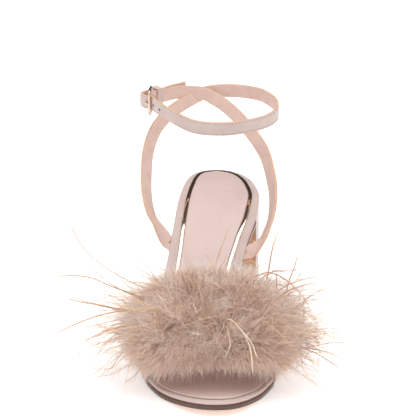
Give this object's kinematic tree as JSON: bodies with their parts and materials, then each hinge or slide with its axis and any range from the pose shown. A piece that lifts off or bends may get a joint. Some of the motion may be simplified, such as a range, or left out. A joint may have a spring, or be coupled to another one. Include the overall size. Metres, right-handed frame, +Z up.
{
  "type": "ankle strap sandal",
  "caption": "Open-toe ankle strap sandal on a covered block heel, with crossed heel straps, a pin buckle and a feather trim over the vamp strap.",
  "frame": {"origin": "on the floor in the middle of the flat tread under the ball of the foot, on the shoe's lengthwise line", "axes": "+Z up, the toe points along -Y and the heel back along +Y, +X is the medial side of this right shoe"},
  "size_m": [0.1732, 0.2152, 0.1627],
  "materials": {
    "blush_suede": "matt pale blush suede",
    "sock_leather": "smooth pale pink lining leather, satin",
    "outsole_leather": "tan sole leather, satin, its edge stained dark brown",
    "polished_strip": "polished champagne metal",
    "heel_tip_rubber": "matt brown rubber",
    "pale_gold": "pale gold plating, polished",
    "marabou_feather": "soft dusty pink marabou feather"
  },
  "bodies": {
    "root": {"ankle_straps": "blush_suede", "buckle_frame": "pale_gold", "buckle_prong": "pale_gold", "feather_trim": "marabou_feather", "heel_block": "blush_suede", "heel_tip": "heel_tip_rubber", "insole_board": "blush_suede", "outsole": "outsole_leather", "sock": "sock_leather", "strap_keeper": "blush_suede", "trim_strip": "polished_strip", "vamp_strap": "blush_suede"}
  },
  "joints": []
}
